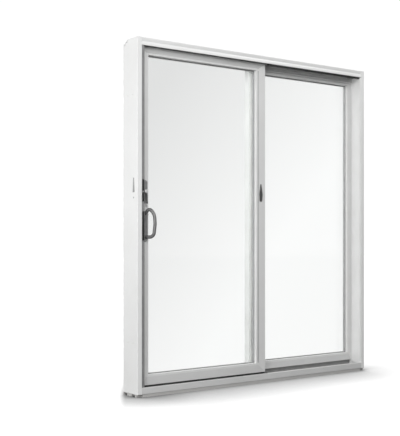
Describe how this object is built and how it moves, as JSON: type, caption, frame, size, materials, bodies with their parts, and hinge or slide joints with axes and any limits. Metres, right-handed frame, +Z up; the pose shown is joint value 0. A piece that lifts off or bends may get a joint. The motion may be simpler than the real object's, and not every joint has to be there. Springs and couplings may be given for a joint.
{
  "type": "sliding patio door",
  "caption": "Two-panel sliding patio door: white hollow frame, one fixed and one sliding glazed panel, D pull and thumb latch.",
  "frame": {"origin": "centre of the sill's underside, on the floor", "axes": "+X along the width from the locking jamb to the fixed jamb, +Y from the room to the outside, +Z up"},
  "size_m": [1.81, 0.1897, 2.019],
  "materials": {
    "white_vinyl": "extruded white vinyl, low satin gloss",
    "clear_glass": "clear float glass",
    "grey_seal": "soft dark grey seal",
    "spacer_metal": "satin warm-edge spacer",
    "track_metal": "mill aluminium",
    "lock_steel": "zinc-plated steel",
    "roller_nylon": "natural nylon",
    "pewter": "dark grey satin metal"
  },
  "bodies": {
    "frame": {"left_jamb": "white_vinyl", "right_jamb": "white_vinyl", "head": "white_vinyl", "sill": "white_vinyl", "sill_track": "track_metal", "right_jamb_cover": "white_vinyl", "left_jamb_seal": "grey_seal", "head_seal": "grey_seal", "interlock_seal": "grey_seal", "fixed_panel_support": "grey_seal", "travel_stop": "grey_seal", "keeper": "lock_steel", "fixed_meeting_stile": "white_vinyl", "fixed_jamb_stile": "white_vinyl", "fixed_top_rail": "white_vinyl", "fixed_bottom_rail": "white_vinyl", "fixed_bead": "white_vinyl", "fixed_room_pane": "clear_glass", "fixed_outer_pane": "clear_glass", "fixed_glass_spacer": "spacer_metal"},
    "slider": {"slider_lock_stile": "white_vinyl", "slider_meeting_stile": "white_vinyl", "slider_top_rail": "white_vinyl", "slider_bottom_rail": "white_vinyl", "slider_bead": "white_vinyl", "slider_room_pane": "clear_glass", "slider_outer_pane": "clear_glass", "slider_glass_spacer": "spacer_metal", "roller_housings": "lock_steel", "roller_wheels": "roller_nylon", "handle_plate": "pewter", "handle_grip": "pewter", "latch_plate": "pewter", "outer_plate": "pewter", "outer_pull": "pewter", "key_cylinder": "lock_steel", "lock_face_plate": "lock_steel", "oval_lock": "pewter"},
    "thumb_latch": {"thumb_latch": "pewter"}
  },
  "joints": [
    {"name": "panel_slide", "type": "slide", "parent": "frame", "child": "slider", "axis": [1, 0, 0], "range_m": [0, 0.75]},
    {"name": "latch_turn", "type": "hinge", "parent": "slider", "child": "thumb_latch", "pos_m": [-0.84, -0.05, 1.156], "axis": [0, -1, 0], "range_deg": [0, 90]}
  ]
}
